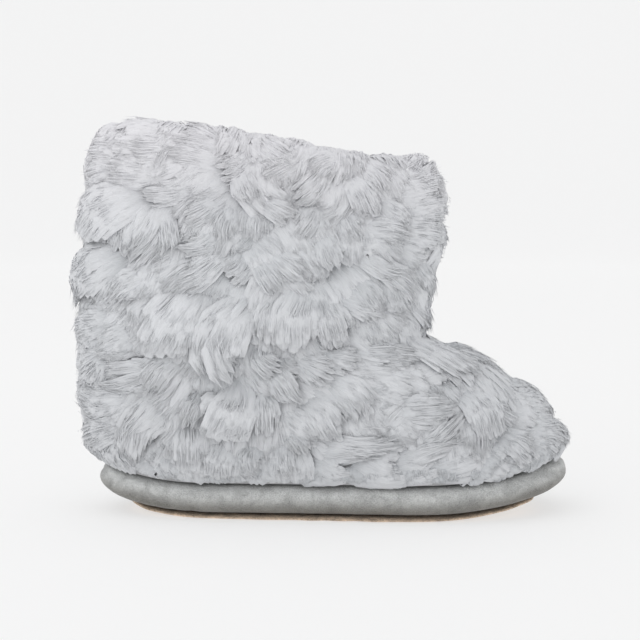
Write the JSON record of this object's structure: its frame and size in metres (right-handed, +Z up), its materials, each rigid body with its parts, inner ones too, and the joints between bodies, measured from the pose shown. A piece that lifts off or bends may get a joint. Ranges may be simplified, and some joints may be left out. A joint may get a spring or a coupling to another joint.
{
  "type": "plush bootie slipper",
  "caption": "Ankle-high plush fur bootie slipper, a right shoe: hollow upper with rows of fur locks, suede-wrapped foam platform and thin tan outsole.",
  "frame": {"origin": "on the floor, on the outsole's flat underside, under the middle of the sole's length", "axes": "+X from heel to toe, +Z up, and -Y towards the wearer's right, which is the outer side of this right shoe"},
  "size_m": [0.2733, 0.1179, 0.214],
  "materials": {
    "tan_suede": "worn tan suede, matt",
    "grey_suede": "soft grey sueded cloth, matt",
    "insole_fleece": "short grey fleece",
    "grey_fur": "pale grey plush fur with long clumped locks",
    "green_lining": "dark green brushed lining"
  },
  "bodies": {
    "root": {"outsole": "tan_suede", "midsole": "grey_suede", "insole": "insole_fleece", "upper": "grey_fur"}
  },
  "joints": []
}
